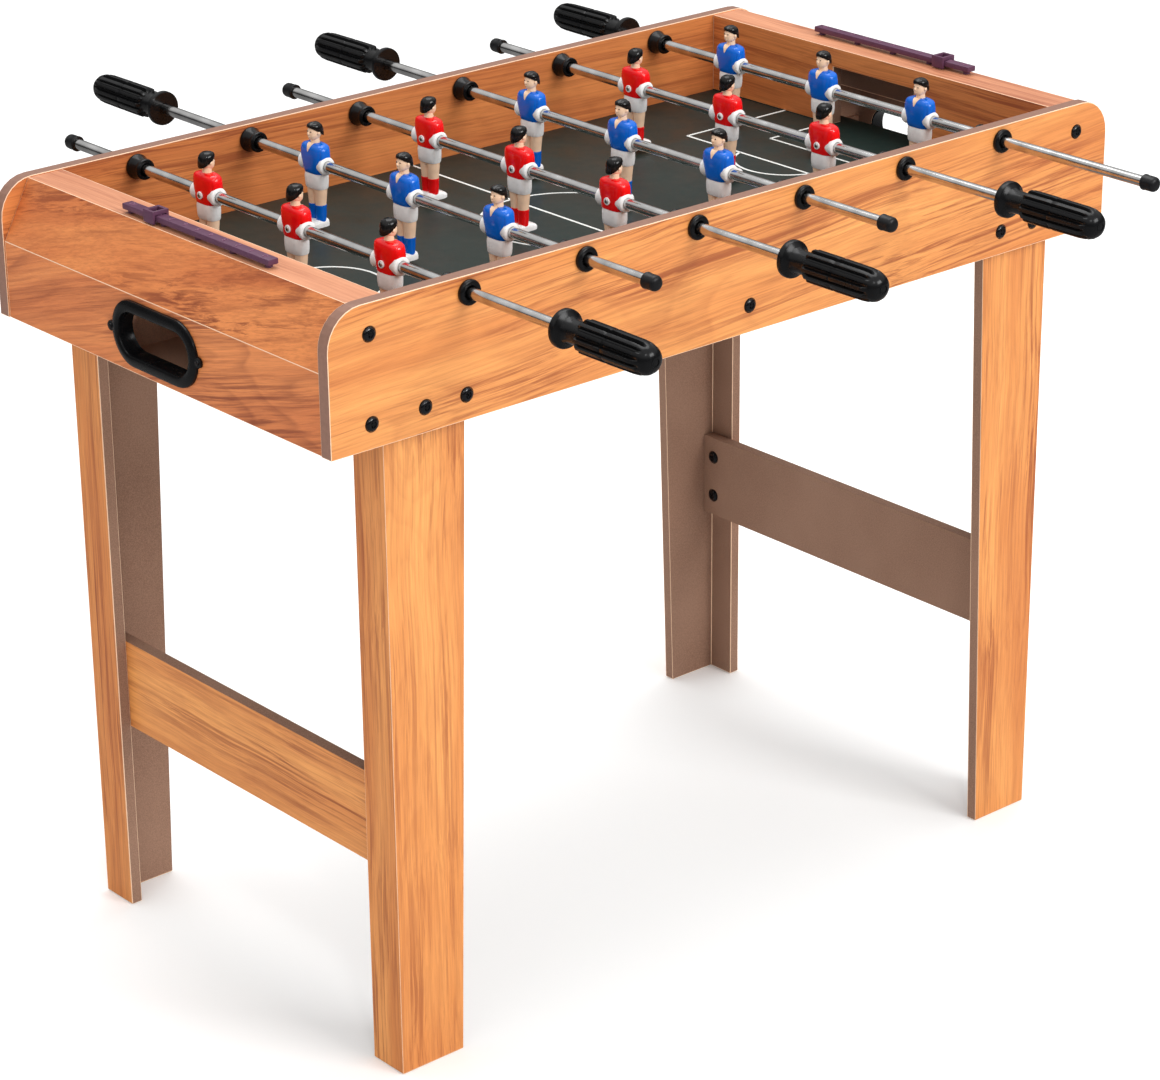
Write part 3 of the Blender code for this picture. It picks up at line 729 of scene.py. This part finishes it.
# Rows of hair are (height, half depth, half width, tilt).
HAIR = [(22.2, 5.1, 4.7, 0.66), (22.4, 5.8, 5.3, 0.66), (23.6, 5.9, 5.45, 0.54), (25.2, 5.7, 5.3, 0.40),
        (26.7, 5.3, 5.0, 0.26), (27.9, 4.4, 4.1, 0.15), (28.7, 3.1, 2.9, 0.08), (29.2, 1.4, 1.3, 0.0)]
SCREW_RIM = [(0.1, -6.0), (2.5, -6.0), (2.7, -6.9), (2.5, -7.4), (1.9, -7.5), (1.8, -6.9), (0.1, -6.9)]
SCREW = [(0.1, -6.5), (1.75, -6.5), (1.75, -7.3), (1.5, -7.7), (0.9, -7.95), (0.1, -8.0)]


def parted(ring):
    """Presses a shallow parting into a ring of hair, a little to one side."""
    return [(x, y, z - 0.55 * math.exp(-((y - 1.3) / 0.55) ** 2)) for x, y, z in ring]


def player_head(shape, m):
    """Neck, head, simple features and combed hair."""
    flesh = m["flesh"]
    shape.loft(in_metres([oval(0.1, 0, z, ax, ay) for z, ax, ay in NECK]), flesh)
    shape.loft(in_metres([oval(cx, 0, z, ax, ay, 2.15) for z, ax, ay, cx in HEAD]), flesh)
    rings = [oval(-0.25, 0, z, ax, ay, 2.2, 48, tilt) for z, ax, ay, tilt in HAIR]
    shape.loft(in_metres(rings[:4] + [parted(ring) for ring in rings[4:]]), m["hair"])
    nose = ((5.6, 0, 21.7), (1.0, 0.8, 1.2), flesh)
    lips = ((5.2, 0, 19.5), (0.5, 1.2, 0.3), flesh)
    features = [nose, lips]
    for side in (-1, 1):
        features.append(((0.3, side * 4.9, 22.0), (1.2, 0.7, 1.4), flesh))
        features.append(((5.0, side * 1.8, 23.1), (0.35, 0.6, 0.4), m["eye_and_recess_shade"]))
    for centre, radii, material in features:
        shape.ball([v * MM for v in centre], [v * MM for v in radii], material)


def player_screw(shape, m):
    """The cross-head screw in the back, in its white rim; its cross is a dark block of painted shade for
    the recess.
    """
    shape.turn(turned(SCREW_RIM), m["white"], 28, "X")
    shape.turn(turned(SCREW), m["nickel"], 24, "X")
    for arm_y, arm_z in ((1.15, 0.3), (0.3, 1.15)):
        low = [v * MM for v in (-8.06, -arm_y, -arm_z)]
        high = [v * MM for v in (-7.8, arm_y, arm_z)]
        shape.block(low, high, m["eye_and_recess_shade"])


def player_mesh(m, colour):
    """One player in its rod's own frame, facing +X."""
    shirt, white, flesh = m[colour], m["white"], m["flesh"]
    shape = Shape()
    shape.loft(in_metres([oval(cx, 0, z, ax, ay, 3.2, 36) for z, ax, ay, cx in TORSO]), shirt)
    for side in (-1, 1):
        sleeve = [oval(0.3, side * y, z, ax, ay, 2.5, 20) for z, ax, ay, y in SLEEVE]
        shape.loft(in_metres(sleeve), shirt)
    neckline = [[(x, -w, z), (x, w, z), (x - 1.6, w, z), (x - 1.6, -w, z)] for z, x, w in NECKLINE]
    shape.loft(in_metres(neckline), flesh)
    shape.loft(in_metres([oval(0, 0, z, ax, ay, 3.0) for z, ax, ay in SHORTS]), white)
    for side in (-1, 1):
        for rows, material in ((LEG, flesh), (SOCK, shirt)):
            limb = [oval(0, side * y, z, ax, ay, 2.2, 20) for z, ax, ay, y in rows]
            shape.loft(in_metres(limb), material)
    shape.loft(in_metres([oval(cx, 0, z, ax, ay, 4.0) for z, ax, ay, cx in SHOES]), white)
    for side in (-1, 1):
        shape.turn(turned(HUB, side), white, 32, closed=True)
    player_head(shape, m)
    player_screw(shape, m)
    return shape.mesh(f"{colour}_player", 42)


def build_players(m):
    """Red players face +X on the odd rods and blue players face -X on the even rods."""
    meshes = {colour: player_mesh(m, colour) for colour in ("red", "blue")}
    for number in RODS:
        colour = "red" if number % 2 else "blue"
        axis = Vector(JOINTS[f"rod_{number}_spin"]["pos_m"])
        for letter in "abc":
            node = f"rod_{number}_player_{letter}"
            low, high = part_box(node)
            location = (axis.x, (low.y + high.y) / 2, axis.z)
            place(f"{colour}_player_{number}{letter}", meshes[colour], f"rod_{number}_spinner",
                  location, 0.0 if colour == "red" else math.pi, [node])


# ---------------------------------------------------------------- bolts, rings and counters

# Bolt places in millimetres: along the board from its middle, and up from its lower edge.
BOARD_BOLTS = ((318, 75), (318, 16.5), (276, 17), (243, 17))
MIDDLE_BOLT = (0, 19)
STRETCHER_BOLT_INSET = 11 * MM
STRETCHER_BOLT_RISE = 16.5 * MM
BOLT_HEAD = [(0.1, -0.2), (4.6, -0.2), (4.75, 0.2), (4.6, 0.8), (3.9, 1.5), (2.8, 1.9), (2.3, 1.95),
             (2.0, 1.2), (1.0, 0.9), (0.1, 0.85)]
WASHER = [(4.9, 0.0), (5.25, 0.0), (5.25, 0.25), (4.9, 0.3)]

RING_WIDTH = 81 * MM
RING_HEIGHT = 32 * MM
RING_CENTRE = 482.5 * MM
# The ring's section in millimetres: outwards from the opening's outline, and out of the board.
RING_SECTION = [(-0.3, 0.3), (-0.3, -9.0), (-1.4, -9.0), (-1.4, 1.4), (-0.9, 2.6), (0.4, 3.4), (2.2, 3.4),
                (5.2, 2.6), (6.6, 1.8), (7.0, 0.3)]
EAR_FROM_OPENING = 8 * MM
EAR = [(0.1, 0.3), (3.6, 0.3), (3.6, 1.8), (3.2, 2.3), (0.1, 2.3)]
EAR_SCREW = [(0.1, 2.2), (1.9, 2.2), (1.7, 2.9), (1.0, 3.2), (0.1, 3.25)]

BAR_THICKNESS = 4.0 * MM
BAR_FEET = 5
BAR_FOOT_INSET = 5 * MM
BAR_FOOT_RADII = (2.6 * MM, 2.1 * MM)
DIGIT_SIZE = 6.0 * MM
DIGIT_RELIEF = 0.25 * MM
DIGIT_INSET = 8 * MM
HIGHEST_SCORE = 10
MARKER_CHANNEL = 4.4 * MM
MARKER_WINDOW = (4.2 * MM, 3.6 * MM)


def bolt_mesh(m):
    """Domed cross-head bolt whose head points along +Y from the origin."""
    shape = Shape()
    shape.turn(turned(BOLT_HEAD), m["bolt"], 32)
    for width, height in ((1.9, 0.5), (0.5, 1.9)):
        low = [v * MM for v in (-width, 0.7, -height)]
        high = [v * MM for v in (width, 1.55, height)]
        shape.block(low, high, m["black"])
    shape.turn(turned(WASHER), m["bolt"], 32, closed=True)
    return shape.mesh("bolt", 40)


def build_bolts(m):
    """Nine bolts on each side board and four on each stretcher."""
    bolt = bolt_mesh(m)
    lower_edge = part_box("side_board_near")[0].z
    spots = [MIDDLE_BOLT]
    for end in ENDS.values():
        spots += [(end * x, z) for x, z in BOARD_BOLTS]
    for side_name in SIDES:
        face, turn = outer_face(side_name)
        for i, (x, z) in enumerate(spots):
            location = (x * MM, face, lower_edge + z * MM)
            place(f"board_bolt_{side_name}_{i + 1}", bolt, TABLE, location, turn)
    for end_name, end in ENDS.items():
        low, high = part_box(f"stretcher_{end_name}")
        face = low.x if end > 0 else high.x
        middle = (low.z + high.z) / 2
        number = 0
        for y in (low.y + STRETCHER_BOLT_INSET, high.y - STRETCHER_BOLT_INSET):
            for rise in (-STRETCHER_BOLT_RISE, STRETCHER_BOLT_RISE):
                number += 1
                place(f"stretcher_bolt_{end_name}_{number}", bolt, TABLE,
                      (face, y, middle + rise), end * math.pi / 2)


def stadium(width, height, grow, count=18):
    """Points of a stadium outline grown outwards, as (y, z)."""
    radius = height / 2
    straight = width / 2 - radius
    points = []
    for side in (1, -1):
        for i in range(count + 1):
            angle = -math.pi / 2 + math.pi * i / count
            y = side * (straight + (radius + grow) * math.cos(angle))
            points.append((y, side * (radius + grow) * math.sin(angle)))
    return points


def ring_ear(shape, ear, end, m):
    """A round lug beside the ring, with its cross-head screw, whose cross is a dark block of painted shade
    for the recess.
    """
    shape.turn(turned(EAR, end), m["black"], 24, "X", centre=ear)
    shape.turn(turned(EAR_SCREW, end), m["bolt"], 20, "X", centre=ear)
    x, y, z = ear
    inner, outer = sorted((x + end * 3.0 * MM, x + end * 3.35 * MM))
    for a, b in ((1.2 * MM, 0.25 * MM), (0.25 * MM, 1.2 * MM)):
        shape.block((inner, y - a, z - b), (outer, y + a, z + b), m["eye_and_recess_shade"])


def build_rings(m):
    """The oval ball-return rings with a screw ear at each end."""
    for end_name, end in ENDS.items():
        low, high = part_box(f"end_shell_{end_name}")
        face = high.x if end > 0 else low.x
        shape = Shape()
        rings = []
        for grow, out in RING_SECTION:
            outline = stadium(RING_WIDTH, RING_HEIGHT, grow * MM)
            rings.append([(face + end * out * MM, y, RING_CENTRE + z) for y, z in outline])
        shape.loft(rings, m["black"], closed=True)
        for side in (-1, 1):
            ring_ear(shape, (face, side * (RING_WIDTH / 2 + EAR_FROM_OPENING), RING_CENTRE), end, m)
        place(f"ball_return_ring_{end_name}", shape.mesh("ring", 35), TABLE)


def rounded_block(name, low, high, radius, material, cutters=()):
    """A block with rounded edges, cut by other blocks."""
    shape = Shape()
    shape.block(low, high, material)
    obj = bpy.data.objects.new(name, shape.mesh(name, 38))
    bpy.context.scene.collection.objects.link(obj)
    temporary = [obj]
    for i, (cut_low, cut_high) in enumerate(cutters):
        cut = Shape()
        cut.block(cut_low, cut_high, material)
        cutter = bpy.data.objects.new(f"{name}_cut_{i}", cut.mesh("cut", 38))
        bpy.context.scene.collection.objects.link(cutter)
        temporary.append(cutter)
        boolean = obj.modifiers.new("cut", "BOOLEAN")
        boolean.operation = "DIFFERENCE"
        boolean.object = cutter
    bevel = obj.modifiers.new("round", "BEVEL")
    bevel.width = radius
    bevel.segments = 2
    bevel.limit_method = "ANGLE"
    graph = bpy.context.evaluated_depsgraph_get()
    mesh = bpy.data.meshes.new_from_object(obj.evaluated_get(graph))
    for other in temporary:
        bpy.data.objects.remove(other)
    mesh.shade_smooth()
    mesh.set_sharp_from_angle(angle=math.radians(40))
    return mesh


def digit_mesh(value, material):
    """A plain raised number."""
    curve = bpy.data.curves.new(f"digit_{value}", "FONT")
    curve.body = str(value)
    curve.size = DIGIT_SIZE
    curve.extrude = DIGIT_RELIEF
    curve.align_x = "CENTER"
    curve.align_y = "CENTER"
    text = bpy.data.objects.new("digit_text", curve)
    bpy.context.scene.collection.objects.link(text)
    graph = bpy.context.evaluated_depsgraph_get()
    mesh = bpy.data.meshes.new_from_object(text.evaluated_get(graph))
    bpy.data.objects.remove(text)
    mesh.materials.clear()
    mesh.materials.append(material)
    return mesh


def digits(end_name, low, high, m):
    """Numbers from 0 to 10 along the score bar, with their tops towards the end of the table."""
    end = ENDS[end_name]
    pitch = (high.y - low.y - 2 * DIGIT_INSET) / HIGHEST_SCORE
    for value in range(HIGHEST_SCORE + 1):
        y = low.y + DIGIT_INSET + pitch * (value if end < 0 else HIGHEST_SCORE - value)
        location = ((low.x + high.x) / 2, y, high.z + 0.1 * MM)
        place(f"score_digit_{end_name}_{value}", digit_mesh(value, m["digit"]), TABLE,
              location, -end * math.pi / 2)


def build_counters(m):
    """Each end's score bar on its feet, with numbers, and the marker that slides along it."""
    for end_name in ENDS:
        rail, pointer = f"score_rail_{end_name}", f"score_pointer_{end_name}"
        low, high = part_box(rail)
        shelf = high.z - BAR_THICKNESS
        bar = rounded_block("bar", (low.x, low.y, shelf), high, 0.6 * MM, m["purple"])
        place(f"score_bar_{end_name}", bar, TABLE, replaces=[rail])
        feet = Shape()
        middle = (low.x + high.x) / 2
        for i in range(BAR_FEET):
            y = low.y + BAR_FOOT_INSET + i / (BAR_FEET - 1) * (high.y - low.y - 2 * BAR_FOOT_INSET)
            levels = zip((low.z, shelf + 0.5 * MM), BAR_FOOT_RADII)
            feet.loft([oval(middle, y, z, r, r, 2.0, 20) for z, r in levels], m["purple"])
        place(f"score_bar_feet_{end_name}", feet.mesh("feet", 38), TABLE)
        digits(end_name, low, high, m)
        over_bar = high.z + 0.4 * MM
        low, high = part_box(pointer)
        x, y = (low.x + high.x) / 2, (low.y + high.y) / 2
        half_x, half_y = MARKER_WINDOW
        past = 10 * MM
        channel = ((x - MARKER_CHANNEL, low.y - past, low.z - past),
                   (x + MARKER_CHANNEL, high.y + past, over_bar))
        window = ((x - half_x, y - half_y, over_bar - MM), (x + half_x, y + half_y, high.z + past))
        marker = rounded_block("pointer", low, high, 0.5 * MM, m["purple"], [channel, window])
        place(f"score_marker_{end_name}", marker, pointer, replaces=[pointer])


# ---------------------------------------------------------------- stage

FLOOR_REACH = 12.0
FLOOR_GLOW = 0.09
FLOOR_IN_REFLECTIONS = (0.16, 0.16, 0.16)

CAMERA_AZIMUTH = -40.69
CAMERA_ELEVATION = 22.82
CAMERA_ROLL = -0.57
CAMERA_PLACE = (-1.5786, -1.8454, 1.2688)
LENS = 112.9
SENSOR_WIDTH = 36.0


def build_stage():
    """A pale floor that stays dim in reflections, so that black plastic keeps its depth."""
    nodes = Nodes("pale_floor")
    shade = nodes.ramp(nodes.noise(3.0), (0.3, (0.965, 0.965, 0.96)), (0.7, (0.98, 0.98, 0.975)))
    glossy = nodes.tree.nodes.new("ShaderNodeLightPath").outputs["Is Glossy Ray"]
    colour = nodes.mix(glossy, shade, FLOOR_IN_REFLECTIONS)
    material = nodes.finish(colour, 0.7, Specular_IOR_Level=0.0, Emission_Color=(1.0, 1.0, 1.0, 1.0),
                            Emission_Strength=FLOOR_GLOW)
    outline = [(-1, -1), (1, -1), (1, 1), (-1, 1)]
    mesh = bpy.data.meshes.new("floor")
    mesh.from_pydata([(x * FLOOR_REACH, y * FLOOR_REACH, 0) for x, y in outline], [], [(0, 1, 2, 3)])
    mesh.materials.append(material)
    floor = bpy.data.objects.new("floor", mesh)
    floor.location = (0, 0, -0.5 * MM)
    bpy.context.scene.collection.objects.link(floor)


def area_light(name, location, target, size, power):
    """A rectangular lamp that points at a target."""
    data = bpy.data.lights.new(name, "AREA")
    data.shape = "RECTANGLE"
    data.size, data.size_y = size
    data.energy = power
    light = bpy.data.objects.new(name, data)
    light.location = location
    direction = Vector(target) - Vector(location)
    light.rotation_euler = direction.to_track_quat("-Z", "Y").to_euler()
    bpy.context.scene.collection.objects.link(light)


def studio_world():
    """White to the camera, soft to diffuse light; reflections see a bright ceiling and a dim horizon."""
    world = bpy.data.worlds.new("studio")
    world.use_nodes = True
    tree = world.node_tree
    coords = tree.nodes.new("ShaderNodeTexCoord")
    split = tree.nodes.new("ShaderNodeSeparateXYZ")
    tree.links.new(coords.outputs["Generated"], split.inputs[0])
    ramp = tree.nodes.new("ShaderNodeValToRGB")
    tree.links.new(split.outputs["Z"], ramp.inputs["Fac"])
    stops = ((0.0, 0.04), (0.24, 0.08), (0.44, 0.66), (1.0, 1.1))
    elements = ramp.color_ramp.elements
    while len(elements) < len(stops):
        elements.new(0.5)
    for element, (position, grey) in zip(elements, stops):
        element.position = position
        element.color = (grey, grey, grey, 1)
    path = tree.nodes.new("ShaderNodeLightPath")
    colour = (0.82, 0.82, 0.82, 1)
    for ray, seen in (("Is Glossy Ray", ramp.outputs["Color"]), ("Is Camera Ray", (1.0, 1.0, 1.0, 1))):
        pick = tree.nodes.new("ShaderNodeMix")
        pick.data_type = "RGBA"
        tree.links.new(path.outputs[ray], pick.inputs[0])
        for socket, value in ((pick.inputs[6], colour), (pick.inputs[7], seen)):
            if isinstance(value, tuple):
                socket.default_value = value
            else:
                tree.links.new(value, socket)
        colour = pick.outputs[2]
    tree.links.new(colour, tree.nodes["Background"].inputs["Color"])
    return world


def build_light():
    """A big soft key from the front right, a top light and a small one for the sparkles."""
    scene = bpy.context.scene
    scene.world = studio_world()
    scene.view_settings.view_transform = "Standard"
    area_light("key", (0.7, -3.2, 2.4), (0, 0, 0.45), (1.8, 1.3), 72)
    area_light("top", (0.4, 0.6, 3.2), (0, 0, 0.4), (2.0, 2.0), 46)
    area_light("sparkle", (-1.4, -2.2, 2.6), (0, 0, 0.5), (0.22, 0.22), 8)


def build_camera():
    """Long lens from the near left, a little above the table."""
    azimuth, elevation, roll = (math.radians(a) for a in (CAMERA_AZIMUTH, CAMERA_ELEVATION, CAMERA_ROLL))
    back = Vector((math.sin(azimuth) * math.cos(elevation), -math.cos(azimuth) * math.cos(elevation),
                   math.sin(elevation)))
    data = bpy.data.cameras.new("camera")
    data.lens = LENS
    data.sensor_width = SENSOR_WIDTH
    camera = bpy.data.objects.new("camera", data)
    camera.location = CAMERA_PLACE
    camera.rotation_mode = "QUATERNION"
    turn = Matrix.Rotation(roll, 4, back).to_quaternion()
    camera.rotation_quaternion = turn @ (-back).to_track_quat("-Z", "Y")
    bpy.context.scene.collection.objects.link(camera)
    bpy.context.scene.camera = camera


def main():
    m = make_materials()
    dress_frame(m)
    field_lines(m)
    build_rods(m)
    build_players(m)
    build_bolts(m)
    build_rings(m)
    build_counters(m)
    build_stage()
    build_light()
    build_camera()


main()
